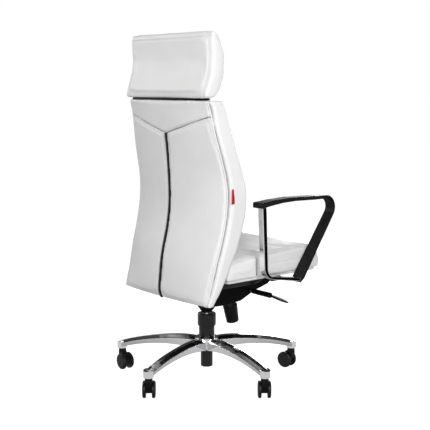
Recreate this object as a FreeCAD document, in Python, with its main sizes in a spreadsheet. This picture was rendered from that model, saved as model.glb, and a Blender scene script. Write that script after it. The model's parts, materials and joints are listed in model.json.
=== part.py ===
import FreeCAD, Part
import math
import os
import re

import Sketcher

V = FreeCAD.Vector

# Swivel office chair, millimetres. +Z up, the sitter faces -Y, the sitter's right hand is at -X.
# The origin is on the floor under the swivel axis. Profiles are given as (forward, height); forward is -Y.

doc = FreeCAD.newDocument("swivel_office_chair")
sheet = doc.addObject("Spreadsheet::Sheet", "dims")

CELLS = [
    # star base and castors
    ("stem_circle", 335.0, "radius of the circle through the castor stems"),
    ("leg_first", -40.0, "bearing of the first leg, degrees"),
    ("leg_count", 5, "legs and castors"),
    ("hub_top", 148.0, "height of the hub's top face"),
    ("hub_foot", 103.0, "height of the hub's lower edge"),
    ("hub_radius", 43.0, "hub outside radius"),
    ("leg_end", 354.0, "radius of the leg tips"),
    ("leg_under", 78.0, "height of the underside at the leg tips"),
    ("stem_radius", 5.45, "castor stem radius"),
    ("stem_hole", 5.5, "castor stem hole radius"),
    ("wheel_radius", 30.0, "castor wheel radius"),
    ("wheel_inner", 10.6, "wheel inner face from the castor's middle"),
    ("wheel_outer", 23.6, "wheel outer face from the castor's middle"),
    ("web_half", 10.0, "half thickness of the castor's web"),
    ("castor_trail", 19.0, "axle behind the swivel axis"),
    ("axle_radius", 4.0, "moulded stub axle radius"),
    ("axle_hole", 4.06, "wheel bore radius"),
    ("neck_radius", 13.5, "castor neck radius"),
    # column
    ("tube_radius", 21.95, "column tube outside radius"),
    ("tube_wall", 2.0, "column tube wall"),
    ("tube_foot", 39.0, "height of the tube's lower end"),
    ("tube_top", 227.0, "height of the tube's upper end"),
    ("rod_radius", 5.0, "piston rod radius"),
    ("gas_radius", 14.0, "gas cylinder outside radius"),
    ("lower_sleeve_radius", 28.5, "lower cover sleeve radius"),
    ("middle_sleeve_radius", 30.8, "middle cover sleeve radius"),
    ("upper_sleeve_radius", 33.5, "upper cover sleeve radius"),
    ("sleeve_foot", 193.0, "height of the upper sleeve's lower edge"),
    ("sleeve_top", 235.0, "height of the upper sleeve's top"),
    # mechanism
    ("pan_half", 46.0, "half width of the mechanism housing"),
    ("keel_half", 22.0, "half width of the housing's keel"),
    ("pan_wall", 3.0, "housing wall"),
    ("pivot_forward", 200.0, "tilt pivot ahead of the column"),
    ("pivot_height", 350.0, "tilt pivot height"),
    ("pivot_radius", 8.0, "tilt pivot shaft radius"),
    ("lever_forward", 165.0, "lever ahead of the column"),
    ("lever_height", 305.0, "lever height"),
    ("lever_pivot_side", 35.0, "lever pivot from the middle"),
    ("lever_rod_radius", 4.0, "lever rod radius"),
    ("knob_forward", 113.0, "tension knob's top centre, forward"),
    ("knob_height", 249.0, "tension knob's top centre, height"),
    ("knob_tilt", 12.1, "tension knob's axis, degrees from vertical"),
    ("knob_length", 66.0, "tension knob length"),
    ("knob_top_radius", 27.0, "tension knob radius at the top"),
    ("knob_foot_radius", 23.0, "tension knob radius at the bottom"),
    # seat
    ("board_foot", 392.0, "height of the seat board's underside"),
    ("board_top", 402.0, "height of the seat board's top"),
    ("board_half", 226.0, "seat board half width"),
    ("seat_half", 242.0, "seat half width"),
    ("seam_forward", 30.0, "transverse seam ahead of the column"),
    ("seat_rear", -112.0, "rear end of the seat pad"),
    ("seat_front", 341.0, "front end of the seat pad"),
    ("seat_rear_height", 462.0, "top of the seat pad at its rear end"),
    ("seat_seam_height", 475.0, "top of the seat pad at the seam"),
    ("seat_front_height", 487.0, "top of the seat pad near its front"),
    # armrests
    ("arm_outer", 291.0, "armrest outer face from the middle"),
    ("arm_bar_width", 24.0, "armrest bar width"),
    ("arm_pad_width", 46.0, "armrest pad width"),
    ("arm_band_width", 46.0, "armrest front band width"),
    # headrest
    ("head_half", 228.0, "headrest half width"),
    ("head_foot", 1014.0, "height of the headrest's lower edge"),
    ("head_top", 1237.0, "height of the headrest's top"),
    # back
    ("panel_edge", 14.0, "thickness of the side gussets"),
    ("back_board", 10.0, "thickness of the back board"),
    ("board_behind", 6.0, "board's rear face ahead of the rear edge line"),
    ("yoke_middle", 896.0, "height of the yoke seam at the middle"),
    ("yoke_side", 962.0, "height of the yoke seam at the sides"),
    ("piping_half", 2.6, "half width of the centre piping"),
]
# back sections: height, rear face at the middle, rear edge at the sides, half width, front edge at the sides
BACK = [
    (324, -205, -193, 239, -167),
    (380, -214.5, -179, 245, -135),
    (443, -208, -163, 249.5, -106),
    (500, -198, -148, 253, -81),
    (560, -183, -131, 255, -57.5),
    (628, -171, -117, 256, -40),
    (690, -168, -112, 256, -34),
    (734, -169.5, -115, 254.5, -40),
    (788, -173, -126, 251.5, -56),
    (840, -177.5, -139, 246, -70),
    (896, -185, -152, 237.5, -82),
    (962, -195, -164, 231, -101),
    (1009, -203.5, -176, 227.5, -120),
]
for n, (zz, mid, edge, half, front) in enumerate(BACK, start=1):
    CELLS += [
        ("sect%d_height" % n, zz, "back section %d height" % n),
        ("sect%d_middle" % n, mid, "back section %d rear face at the middle" % n),
        ("sect%d_edge" % n, edge, "back section %d rear edge" % n),
        ("sect%d_half" % n, half, "back section %d half width" % n),
        ("sect%d_front" % n, front, "back section %d front edge" % n),
    ]

for row, (alias, value, note) in enumerate(CELLS, start=1):
    sheet.set("A%d" % row, note)
    sheet.set("B%d" % row, str(value))
    sheet.setAlias("B%d" % row, alias)
doc.recompute()
NAMES = {c[0] for c in CELLS}


def g(alias):
    return float(getattr(sheet, alias))


def term(t):
    out = 1.0
    for k, f in enumerate(re.split(r"([*/])", t.strip())):
        f = f.strip()
        if f in ("*", "/"):
            op = f
            continue
        v = g(f) if f in NAMES else float(f)
        out = v if k == 0 else (out * v if op == "*" else out / v)
    return out


def val(e):
    """The value of a sum or difference of terms, each a cell's name or a number."""
    if isinstance(e, (int, float)):
        return float(e)
    total, sign = 0.0, 1.0
    for f in re.split(r"(?<![eE*/])([+-])", e):
        f = f.strip()
        if f in ("+", "-"):
            sign = 1.0 if f == "+" else -1.0
        elif f:
            total += sign * term(f)
            sign = 1.0
    return total


def bind(e):
    if isinstance(e, (int, float)):
        return None
    return re.sub(r"[a-z][a-z0-9_]*", lambda k: "dims." + k.group(0), e)


def origin_plane(body, role):
    return [f for f in body.Origin.OriginFeatures if f.Role == role][0]


def new_body(label):
    b = doc.addObject("PartDesign::Body", label)
    b.Label = label
    return b


def outline(body, role, pts):
    """A closed polygon sketch whose every corner is dimensioned from the origin."""
    sk = body.newObject("Sketcher::SketchObject", body.Name + "_sketch")
    sk.AttachmentSupport = [(origin_plane(body, role), "")]
    sk.MapMode = "FlatFace"
    xy = [(val(a), val(b)) for a, b in pts]
    n = len(xy)
    for k in range(n):
        a, b = xy[k], xy[(k + 1) % n]
        sk.addGeometry(Part.LineSegment(V(a[0], a[1], 0), V(b[0], b[1], 0)), False)
    for k in range(n):
        sk.addConstraint(Sketcher.Constraint("Coincident", k, 2, (k + 1) % n, 1))
    for k in range(n):
        for axis, e, v, on in (("DistanceX", pts[k][0], xy[k][0], -2), ("DistanceY", pts[k][1], xy[k][1], -1)):
            if abs(v) < 1e-9:
                sk.addConstraint(Sketcher.Constraint("PointOnObject", k, 1, on))
                continue
            c = sk.addConstraint(Sketcher.Constraint(axis, -1, 1, k, 1, v))
            if bind(e):
                sk.setExpression("Constraints[%d]" % c, bind(e))
    return sk


def disc(body, role, x, y, r):
    sk = body.newObject("Sketcher::SketchObject", body.Name + "_disc")
    sk.AttachmentSupport = [(origin_plane(body, role), "")]
    sk.MapMode = "FlatFace"
    sk.addGeometry(Part.Circle(V(val(x), val(y), 0), V(0, 0, 1), val(r)), False)
    c = sk.addConstraint(Sketcher.Constraint("Radius", 0, val(r)))
    if bind(r):
        sk.setExpression("Constraints[%d]" % c, bind(r))
    for axis, e, on in (("DistanceX", x, -2), ("DistanceY", y, -1)):
        if abs(val(e)) < 1e-9:
            sk.addConstraint(Sketcher.Constraint("PointOnObject", 0, 3, on))
        else:
            c = sk.addConstraint(Sketcher.Constraint(axis, -1, 1, 0, 3, val(e)))
            if bind(e):
                sk.setExpression("Constraints[%d]" % c, bind(e))
    return sk


def turn(body, sk, axis="V_Axis", cut=False):
    f = body.newObject("PartDesign::Groove" if cut else "PartDesign::Revolution", body.Name + "_turn")
    f.Profile = sk
    f.ReferenceAxis = (sk, [axis])
    f.Angle = 360.0
    return f


def pad(body, sk, length):
    """Both ways from the sketch's plane, half of length each way."""
    f = body.newObject("PartDesign::Pad", body.Name + "_pad")
    f.Profile = sk
    f.Type = 0
    if "SideType" in f.PropertiesList:
        f.SideType = "Symmetric"
    else:
        f.Midplane = True
    f.Length = val(length)
    if bind(length):
        f.setExpression("Length", bind(length))
    return f


def lathe(label, pts, grooves=()):
    b = new_body(label)
    turn(b, outline(b, "XZ_Plane", pts))
    for gpts in grooves:
        turn(b, outline(b, "XZ_Plane", gpts), cut=True)
    return b


def slab(label, pts, length, role="YZ_Plane"):
    b = new_body(label)
    pad(b, outline(b, role, pts), length)
    return b


def feature(label, shape, placement=None):
    o = doc.addObject("Part::Feature", label)
    o.Label = label
    o.Shape = shape
    if placement is not None:
        o.Placement = placement
    return o


def P(side, forward, height):
    """side is positive to the sitter's right."""
    return V(-side, -forward, height)


def ring_wire(pts):
    return Part.makePolygon(pts + [pts[0]])


def rounded(pts, radii, put):
    """A closed wire through 2-D corners with an arc of the given radius at each; put maps 2-D to space."""
    n = len(pts)
    ends = []
    for k in range(n):
        p, a, b = V(*pts[k], 0), V(*pts[k - 1], 0), V(*pts[(k + 1) % n], 0)
        u, w = (a - p).normalize(), (b - p).normalize()
        half = math.acos(max(-1.0, min(1.0, u.dot(w)))) / 2.0
        r = radii[k]
        if r <= 0:
            ends.append((p, None, p))
            continue
        t = r / math.tan(half)
        bis = (u + w).normalize()
        mid = p + bis * (r / math.sin(half) - r)
        ends.append((p + u * t, mid, p + w * t))
    edges = []
    for k in range(n):
        s, m, e = ends[k]
        if m is not None:
            edges.append(Part.Arc(put(s), put(m), put(e)).toShape())
        nxt = ends[(k + 1) % n][0]
        if (nxt - e).Length > 1e-6:
            edges.append(Part.LineSegment(put(e), put(nxt)).toShape())
    return Part.Wire(edges)


def box(side0, side1, fwd0, fwd1, z0, z1):
    x0, x1 = sorted((-side0, -side1))
    y0, y1 = sorted((-fwd0, -fwd1))
    return Part.makeBox(x1 - x0, y1 - y0, z1 - z0, V(x0, y0, z0))


def both_sides(shape):
    return Part.makeCompound([shape, shape.mirror(V(0, 0, 0), V(1, 0, 0))])


# ---------------------------------------------------------------- star base
# Each leg is a hollow arched beam: a flat crown, two bevels, two side walls, open underneath.
LEG = [
    # radius, underside, top, half width
    (35, 104, 147.0, 24.0),
    (80, 111, 150.0, 23.5),
    (140, 113.5, 146.5, 21.5),
    (200, 110, 139.0, 20.0),
    (260, 101.5, 128.0, 19.0),
    (310, 90, 115.0, 18.5),
    (340, 80.5, 105.5, 18.0),
]


def leg_outer(rho, z0, z1, w):
    pts = [(-w + 1.5, z0), (w - 1.5, z0), (w, z1 - 11), (w * 0.42, z1), (-w * 0.42, z1), (-w, z1 - 11)]
    return rounded(pts, [1.5, 1.5, 5.0, 4.0, 4.0, 5.0], lambda p: V(rho, p.x, p.y))


def leg_inner(rho, z0, z1, w):
    pts = [(-w + 5.5, z0 - 3), (w - 5.5, z0 - 3), (w - 5.5, z1 - 13), (w * 0.38, z1 - 5.5), (-w * 0.38, z1 - 5.5), (-w + 5.5, z1 - 13)]
    return rounded(pts, [0, 0, 2.0, 2.0, 2.0, 2.0], lambda p: V(rho, p.x, p.y))


leg = Part.makeLoft([leg_outer(*s) for s in LEG], True, False)
hollow = Part.makeLoft([leg_inner(*s) for s in LEG[1:6]], True, False)
# the tip closes in a half round around the stem socket
tip_r = 18.0
z_tip0, z_tip1 = g("leg_under"), 105.0
tip = Part.makeCylinder(tip_r, z_tip1 - z_tip0 + 3, V(g("stem_circle") + 1, 0, z_tip0))
tip = tip.makeFillet(6.0, [e for e in tip.Edges if abs(e.CenterOfMass.z - (z_tip1 + 3)) < 0.01 and e.Length > 50])
slope_cut = Part.makeBox(60, 80, 40, V(-30, -40, 0))
slope_cut.rotate(V(0, 0, 0), V(0, 1, 0), 15.0)
slope_cut.translate(V(g("stem_circle") + 4, 0, z_tip1 + 0.6))
tip = tip.cut(slope_cut)
socket = Part.makeCylinder(9.5, 22, V(g("stem_circle"), 0, g("leg_under")))
leg = leg.cut(hollow).fuse([tip, socket])
leg = leg.cut(Part.makeCylinder(g("stem_hole"), 20, V(g("stem_circle"), 0, g("leg_under") - 1)))
hub = Part.makeCylinder(g("hub_radius"), g("hub_top") - g("hub_foot"), V(0, 0, g("hub_foot")))
hub = hub.makeChamfer(6.0, [e for e in hub.Edges if abs(e.CenterOfMass.z - g("hub_foot")) < 0.01])
arms = []
for k in range(int(g("leg_count"))):
    one = leg.copy()
    one.rotate(V(0, 0, 0), V(0, 0, 1), g("leg_first") + 72.0 * k)
    arms.append(one)
star = hub.fuse(arms)
collar = Part.makeCone(34.0, 31.0, 4.5, V(0, 0, g("hub_top") - 4.5))
star = star.fuse(collar)
star = star.cut(Part.makeCylinder(g("tube_radius") + 0.05, 90, V(0, 0, 80)))
star = star.removeSplitter()
feature("base_casting", star)

# castor stems, pressed into the legs
stems = []
for k in range(int(g("leg_count"))):
    a = math.radians(g("leg_first") + 72.0 * k)
    c = V(g("stem_circle") * math.cos(a), g("stem_circle") * math.sin(a), 60.5)
    pin = Part.makeCylinder(g("stem_radius"), 36.0, c)
    pin = pin.makeChamfer(0.8, [e for e in pin.Edges if abs(e.CenterOfMass.z - 60.5) < 0.01 or abs(e.CenterOfMass.z - 96.5) < 0.01])
    stems.append(pin)
feature("castor_stems", Part.makeCompound(stems))

# ---------------------------------------------------------------- column
lathe(
    "column_tube",
    [
        ("rod_radius + 0.06", "tube_foot + 4"),
        ("tube_radius - 2.5", "tube_foot + 4"),
        ("tube_radius - 2.5", "tube_foot"),
        ("tube_radius - 0.6", "tube_foot"),
        ("tube_radius", "tube_foot + 0.8"),
        ("tube_radius", "tube_top"),
        ("tube_radius - tube_wall", "tube_top"),
        ("tube_radius - tube_wall", "tube_foot + 8"),
        ("rod_radius + 0.06", "tube_foot + 8"),
    ],
)
lathe(
    "guide_bush",
    [
        ("gas_radius + 0.05", 152),
        ("tube_radius - tube_wall - 0.02", 152),
        ("tube_radius - tube_wall - 0.02", "tube_top"),
        ("tube_radius", "tube_top"),
        ("tube_radius", "tube_top + 3.5"),
        ("gas_radius + 0.05", "tube_top + 3.5"),
    ],
)
lathe(
    "lower_sleeve",
    [
        ("tube_radius + 0.3", "hub_top + 0.2"),
        ("lower_sleeve_radius", "hub_top + 0.2"),
        ("lower_sleeve_radius", 231.0),
        ("lower_sleeve_radius - 0.6", 231.6),
        ("lower_sleeve_radius - 1.6", 231.6),
        ("lower_sleeve_radius - 1.6", "hub_top + 5"),
        ("tube_radius + 0.3", "hub_top + 5"),
    ],
)
lathe(
    "piston_rod",
    [
        (0, 40.2),
        ("rod_radius", 40.2),
        ("rod_radius", 200.0),
        ("gas_radius - 2.4", 200.0),
        ("gas_radius - 2.4", 212.0),
        (0, 212.0),
    ],
)
bearing = []
for z0, z1, r0, r1 in ((47.2, 48.4, 5.15, 13.0), (48.6, 50.8, 5.15, 12.0), (51.0, 52.2, 5.15, 13.0), (40.6, 42.2, 5.0, 9.0)):
    bearing.append(Part.makeCylinder(r1, z1 - z0, V(0, 0, z0)).cut(Part.makeCylinder(r0, z1 - z0, V(0, 0, z0))))
feature("thrust_bearing", Part.makeCompound(bearing))
lathe(
    "gas_cylinder",
    [
        ("rod_radius + 0.05", 58.0),
        ("gas_radius", 58.0),
        ("gas_radius", 284.0),
        ("gas_radius - 1", 288.0),
        (4.06, 288.0),
        (4.06, 276.0),
        (0, 276.0),
        (0, 262.0),
        ("gas_radius - 2.35", 262.0),
        ("gas_radius - 2.35", 72.0),
        ("rod_radius + 0.05", 72.0),
    ],
)
lathe("release_button", [(0, 281.0), (4.0, 281.0), (4.0, 295.3), (3.0, 296.3), (0, 296.3)])
lathe(
    "middle_sleeve",
    [
        ("middle_sleeve_radius - 1.5", 190.0),
        ("middle_sleeve_radius", 190.0),
        ("middle_sleeve_radius", 234.0),
        ("middle_sleeve_radius - 1.5", 234.0),
    ],
)
lathe(
    "upper_sleeve",
    [
        ("upper_sleeve_radius - 1.9", "sleeve_foot"),
        ("upper_sleeve_radius - 0.6", "sleeve_foot"),
        ("upper_sleeve_radius", "sleeve_foot + 0.8"),
        ("upper_sleeve_radius", "sleeve_top - 1"),
        ("upper_sleeve_radius - 1.5", "sleeve_top + 1.6"),
        ("gas_radius", "sleeve_top + 1.6"),
        ("gas_radius", "sleeve_top"),
        ("upper_sleeve_radius - 1.9", "sleeve_top"),
    ],
)

# ---------------------------------------------------------------- mechanism
side_profile = [
    (-38, 290), (-30, 274), (40, 267), (157, 290), (262, 317), (280, 331),
    (280, 345), (236, 352), (216, 367), (184, 367), (150, 350), (100, 340), (60, 332), (0, 318), (-38, 311),
]
inner_profile = [(-35, 291), (-28, 277), (41, 270), (156, 293), (261, 320), (277, 333), (277, 400), (-35, 400)]
keel_profile = [(-24, 275), (-20, 260), (78, 257), (150, 264), (200, 286), (231, 301), (262, 311), (268, 322), (262, 330), (0, 300)]
keel_inner = [(-21, 276), (-17, 263), (77, 260), (148, 267), (198, 289), (229, 304), (257, 313.5), (258, 340), (-21, 340)]
blocks = []
for name, pts, width in (
    ("housing_outside", side_profile, "pan_half*2"),
    ("housing_inside", inner_profile, "pan_half*2 - pan_wall*2"),
    ("keel_outside", keel_profile, "keel_half*2"),
    ("keel_inside", keel_inner, "keel_half*2 - pan_wall*2"),
):
    blocks.append(slab(name, [(-f, z) for f, z in pts], width))
doc.recompute()
hull_out, hull_in, keel_out, keel_in = [b.Shape.copy() for b in blocks]
outer_pan = hull_out.fuse(keel_out)
inner_pan = hull_in.fuse(keel_in)
pan = outer_pan.cut(inner_pan)
boss = Part.makeCylinder(20.0, 43.5, V(0, 0, 240.0)).fuse(Part.makeCone(22.5, 33.0, 15.0, V(0, 0, 247.0)))
pan = pan.fuse(boss)
# ribs that carry the lever's trunnions
lf, lz, ls = g("lever_forward"), g("lever_height"), g("lever_pivot_side")
for f0, f1 in ((lf - 15, lf - 11), (lf + 11, lf + 15)):
    pan = pan.fuse(box(ls - 8, g("pan_half") - 2, f0, f1, 285, 318))
pan = pan.common(outer_pan.fuse(boss))
pan = pan.cut(Part.makeCylinder(g("gas_radius"), 60, V(0, 0, 230)))
pan = pan.cut(Part.makeCylinder(3.06, 60, P(ls, lf - 30, lz), V(0, -1, 0)))
pan = pan.cut(box(40, 50, lf - 6, lf + 6, lz - 7, lz + 9))
pan = pan.cut(Part.makeCylinder(g("pivot_radius"), 200, P(-100, g("pivot_forward"), g("pivot_height")), V(-1, 0, 0)))
pan = pan.cut(Part.makeCylinder(3.06, 200, P(-100, 232, 320.0), V(-1, 0, 0)))
ka = math.radians(g("knob_tilt"))
knob_dir = V(0, math.sin(ka), math.cos(ka))  # up along the bolt
knob_top = P(0, g("knob_forward"), g("knob_height"))
pan = pan.cut(Part.makeCylinder(5.12, 60, knob_top - knob_dir * 5, knob_dir))
for part in blocks:
    for o in list(part.Group):
        doc.removeObject(o.Name)
    doc.removeObject(part.Name)
feature("mechanism_housing", pan.removeSplitter())

shaft = Part.makeCylinder(g("pivot_radius"), 114, P(-57, g("pivot_forward"), g("pivot_height")), V(-1, 0, 0))
feature("pivot_shaft", shaft)
springs = []
for s in (-1, 1):
    coil = Part.makeCylinder(19.0, 24.0, P(s * 14, g("pivot_forward"), g("pivot_height")), V(-s, 0, 0))
    for k in range(5):
        groove = Part.makeTorus(20.2, 2.0, P(s * (16.4 + 4.8 * k), g("pivot_forward"), g("pivot_height")), V(1, 0, 0))
        coil = coil.cut(groove)
    arm = box(s * 30, s * 35, 118, 200, 332, 337)
    arm.rotate(P(0, 200, 335), V(1, 0, 0), 14.0)
    coil = coil.fuse(arm)
    coil = coil.cut(Part.makeCylinder(9.5, 80, P(s * 8, g("pivot_forward"), g("pivot_height")), V(-s, 0, 0)))
    springs.append(coil)
feature("torsion_springs", Part.makeCompound(springs))

# rocker that presses the gas spring's button
rocker = box(-12, 12, -9, 205, 296.8, 299.8)
rocker = rocker.fuse(box(10, 25, lf - 6, lf + 2, 296.8, 299.8))
rocker = rocker.fuse(box(-12, 12, 202, 205, 296.8, 321.5))
rocker = rocker.fuse(box(-12, 12, 202, 235, 318.5, 321.5))
rocker = rocker.fuse(Part.makeCylinder(3.0, 92, P(-46, 232, 320.0), V(-1, 0, 0)))
feature("actuator_plate", rocker.removeSplitter())

block = box(ls - 8, ls + 5.5, lf - 9, lf + 5.5, lz - 5, lz + 7)
block = block.fuse(Part.makeCylinder(3.0, 32, P(ls, lf - 16, lz), V(0, -1, 0)))
block = block.cut(Part.makeCylinder(g("lever_rod_radius") + 0.05, 40, P(ls - 20, lf, lz), V(-1, 0, 0)))
feature("lever_pivot", block)
feature("lever_rod", Part.makeCylinder(g("lever_rod_radius"), 121.5, P(23.5, lf, lz), V(-1, 0, 0)))

grip = Part.makeCone(9.0, 10.0, 96, P(68, lf, lz), V(-1, 0, 0))
grip = grip.makeFillet(2.5, [e for e in grip.Edges if e.Length > 50 and abs(e.CenterOfMass.x + 68) < 0.1 or abs(e.CenterOfMass.x + 164) < 0.1])
leaf_wires = []
for side, half_w, half_t, z in ((155, 6.5, 5.5, 304.5), (168, 8.0, 4.2, 304), (185, 11.5, 3.6, 302.5), (205, 13.5, 3.2, 300.2), (225, 13.0, 2.9, 297.5), (240, 10.0, 2.4, 295.2), (251, 4.5, 1.6, 293.4)):
    e = Part.Ellipse(P(side, lf, z), half_w, half_t)
    e.Axis = V(1, 0, 0)
    e.XAxis = V(0, 1, 0)
    leaf_wires.append(Part.Wire([e.toShape()]))
leaf = Part.makeLoft(leaf_wires, True, False)
grip = grip.fuse(leaf)
grip = grip.cut(Part.makeCylinder(g("lever_rod_radius"), 145 - 60, P(60, lf, lz), V(-1, 0, 0)))
feature("lever_grip", grip)

# tension knob: tapered and fluted, with a domed end
kl, kr0, kr1 = g("knob_length"), g("knob_top_radius"), g("knob_foot_radius")
knob = Part.makeCone(kr0, kr1, kl, V(0, 0, 0), V(0, 0, -1))
knob = knob.makeFillet(3.0, [e for e in knob.Edges if e.Length > 100 and abs(e.CenterOfMass.z + kl) < 0.1])
for k in range(8):
    a = math.radians(45.0 * k + 22.5)
    flute = Part.makeCone(11.0, 11.0 - 0.001, kl - 8, V(0, 0, 0), V(0, 0, -1))
    flute.rotate(V(0, 0, 0), V(0, 1, 0), math.degrees(math.atan2(kr0 - kr1, kl)))
    flute.translate(V(kr0 + 9.2, 0, -9.0))
    flute.rotate(V(0, 0, 0), V(0, 0, 1), math.degrees(a))
    knob = knob.cut(flute)
knob = knob.cut(Part.makeCylinder(5.0, 30, V(0, 0, 0), V(0, 0, -1)))
tilt_place = FreeCAD.Placement(knob_top, FreeCAD.Rotation(V(1, 0, 0), -g("knob_tilt")))
feature("tension_knob", knob, tilt_place)
feature("tension_bolt", Part.makeCylinder(5.0, 72.5, V(0, 0, -30)), tilt_place)
nut = Part.makeBox(32, 14, 9, V(-16, -7, 24.5))
nut = nut.cut(Part.makeCylinder(5.05, 30, V(0, 0, 15)))
feature("tension_nut", nut, tilt_place)

# ---------------------------------------------------------------- seat
zb, zt = g("board_foot"), g("board_top")
pf, pz = g("pivot_forward"), g("pivot_height")
flange_pts = [(-(pf - 24), zb - 3), (-(pf - 24), pz), (-(pf - 12), pz - 16), (-(pf + 12), pz - 16), (-(pf + 24), pz), (-(pf + 24), zb - 3)]
seat_plate = box(-60, 60, -40, 255, zb - 6, zb)
for s in (-1, 1):
    wire = ring_wire([V(-s * 49.0, a, b) for a, b in flange_pts])
    seat_plate = seat_plate.fuse(Part.Face(wire).extrude(V(-s * 5.0, 0, 0)))
seat_plate = seat_plate.cut(Part.makeCylinder(g("pivot_radius") + 0.06, 200, P(-100, pf, pz), V(-1, 0, 0)))

mounts = both_sides(box(110, g("arm_outer") - g("arm_bar_width"), 72, 142, zb - 6, zb))

# back sections
N = len(BACK)
sect = [[g("sect%d_%s" % (n, w)) for w in ("height", "middle", "edge", "half", "front")] for n in range(1, N + 1)]


def at(z, col):
    for a, b in zip(sect, sect[1:]):
        if z <= b[0] or b is sect[-1]:
            t = (z - a[0]) / (b[0] - a[0])
            return a[col] + (b[col] - a[col]) * t
    return sect[-1][col]


bb, tb, ed = g("board_behind"), g("back_board"), g("panel_edge")


def slice_loft(rows):
    return Part.makeLoft([ring_wire(r) for r in rows], True, False)


board_rows, gus_rows, cush_rows = [], [], []
for z, mid, edge, half, front in sect:
    b0, b1, w = edge + bb, edge + bb + tb, half - ed
    board_rows.append([P(-w, b0, z), P(w, b0, z), P(w, b1, z), P(-w, b1, z)])
    gus_rows.append([P(w + 0.4, edge + 1, z), P(half, edge + 4, z), P(half, front - 3, z), P(w + 0.4, front, z)])
back_board = slice_loft(board_rows)
gusset = slice_loft(gus_rows)


def arc_loft(make):
    return Part.makeLoft([make(s) for s in sect], True, False)


def rear_wire(s, side):
    """Rear panel section: the outside is a shallow arc from the middle to the side."""
    z, mid, edge, half, front = s
    b0, w, p = edge + bb - 0.4, half - ed, g("piping_half")
    f = lambda r: mid + (edge - mid) * (r / half) ** 2
    a, m, c = P(side * p, f(p), z), P(side * w * 0.55, f(w * 0.55), z), P(side * w, f(w), z)
    return Part.Wire([
        Part.Arc(a, m, c).toShape(),
        Part.LineSegment(c, P(side * w, b0, z)).toShape(),
        Part.LineSegment(P(side * w, b0, z), P(side * p, b0, z)).toShape(),
        Part.LineSegment(P(side * p, b0, z), a).toShape(),
    ])


def cushion_wire(s):
    z, mid, edge, half, front = s
    b1, w = edge + bb + tb + 0.4, half - ed
    a, m, c = P(-w, front, z), P(0, front - 9, z), P(w, front, z)
    return Part.Wire([
        Part.Arc(a, m, c).toShape(),
        Part.LineSegment(c, P(w, b1, z)).toShape(),
        Part.LineSegment(P(w, b1, z), P(-w, b1, z)).toShape(),
        Part.LineSegment(P(-w, b1, z), a).toShape(),
    ])


cushion = arc_loft(cushion_wire)
rear = {s: arc_loft(lambda q, s=s: rear_wire(q, s)) for s in (-1, 1)}
piping = slice_loft(
    [
        [P(-g("piping_half"), m - 3.0, z), P(g("piping_half"), m - 3.0, z), P(g("piping_half"), m + 5, z), P(-g("piping_half"), m + 5, z)]
        for z, m, *_ in sect
    ]
)
ym, ys, hw = g("yoke_middle"), g("yoke_side"), 231.0


def above(z_shift):
    """The space above the V seam."""
    pts = [P(0, -400, ym), P(300, -400, ym + (ys - ym) * 300 / hw), P(300, -400, 1100), P(-300, -400, 1100), P(-300, -400, ym + (ys - ym) * 300 / hw)]
    return Part.Face(ring_wire(pts)).extrude(V(0, -500, 0))


top_zone = above(0)
yoke = rear[-1].common(top_zone).fuse(rear[1].common(top_zone))
p = g("piping_half")
middle_rows = []
for z, m, edge, *_ in sect:
    middle_rows.append([P(-p, m + 0.02, z), P(p, m + 0.02, z), P(p, edge + bb - 0.4, z), P(-p, edge + bb - 0.4, z)])
middle = slice_loft(middle_rows)
yoke = yoke.fuse(middle.common(top_zone)).removeSplitter()
left_panel = rear[-1].cut(top_zone)
right_panel = rear[1].cut(top_zone)
piping = piping.cut(top_zone)

# J bar from under the seat up the front of the back board
bar_rows = []
for z in (384.0, 420.0, 470.0, 520.0, 560.0):
    e = at(z, 2) + bb + tb
    w = 42.0
    bar_rows.append([P(-w, e, z), P(w, e, z), P(w, e + 8, z), P(-w, e + 8, z)])
upright = Part.makeLoft([ring_wire(r) for r in bar_rows], True, True)
foot_back = at(388.0, 2) + bb + tb + 1.0
bracket = upright.fuse(box(-42, 42, foot_back, -42, zb - 8, zb)).removeSplitter()
clear_board = back_board
bracket = bracket.cut(clear_board)
cushion = cushion.cut(bracket)

# headrest bracket: a steel strap from the board's top into the headrest
strap_rows = []
for z in (930.0, 962.0, 1009.0, 1040.0, 1085.0):
    e = at(z, 2) if z <= 1009 else g("sect%d_edge" % N) + (z - 1009) * 0.30
    e += bb + tb
    strap_rows.append([P(-45, e, z), P(45, e, z), P(45, e + 5, z), P(-45, e + 5, z)])
strap = Part.makeLoft([ring_wire(r) for r in strap_rows], True, True).cut(back_board)
# spacer plate in the gap between the back's top and the headrest
gap_pts = [(r, -203.5 + 27.5 * (r / 227.5) ** 2 + 6.0) for r in (-206, -155, -103, -52, 0, 52, 103, 155, 206)]
spacer = Part.Face(ring_wire([P(r, f, 1009.5) for r, f in gap_pts] + [P(206, -157.5, 1009.5), P(-206, -157.5, 1009.5)])).extrude(V(0, 0, 4.0))
strap = strap.fuse(spacer).removeSplitter()
cushion = cushion.cut(strap)

head_pts = [
    (-190, "head_foot + 1"), (-195, "head_foot + 10"), (-194, 1034), (-180, 1068), (-168, 1104), (-163.5, 1138), (-166, 1182),
    (-170, 1214), (-166, 1231), (-157, "head_top"), (-145, 1229), (-128, 1203), (-114, 1166), (-111.5, 1129), (-116, 1086),
    (-132, 1046), (-149, 1023), (-166, "head_foot"),
]
head = slab("headrest_outline", [(("%g" % -f), z) for f, z in head_pts], "head_half*2")
doc.recompute()
head_shape = head.Shape.copy()
for o in list(head.Group):
    doc.removeObject(o.Name)
doc.removeObject(head.Name)
long_edges = [e for e in head_shape.Edges if abs(abs(e.CenterOfMass.x) - g("head_half")) < 0.01]
try:
    soft = head_shape.makeFillet(9.0, long_edges)
    if soft.isValid() and soft.Volume < head_shape.Volume:
        head_shape = soft
except Exception:
    pass
head_shape = head_shape.cut(strap)
feature("headrest_pad", head_shape)
feature("headrest_bracket", strap)

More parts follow.
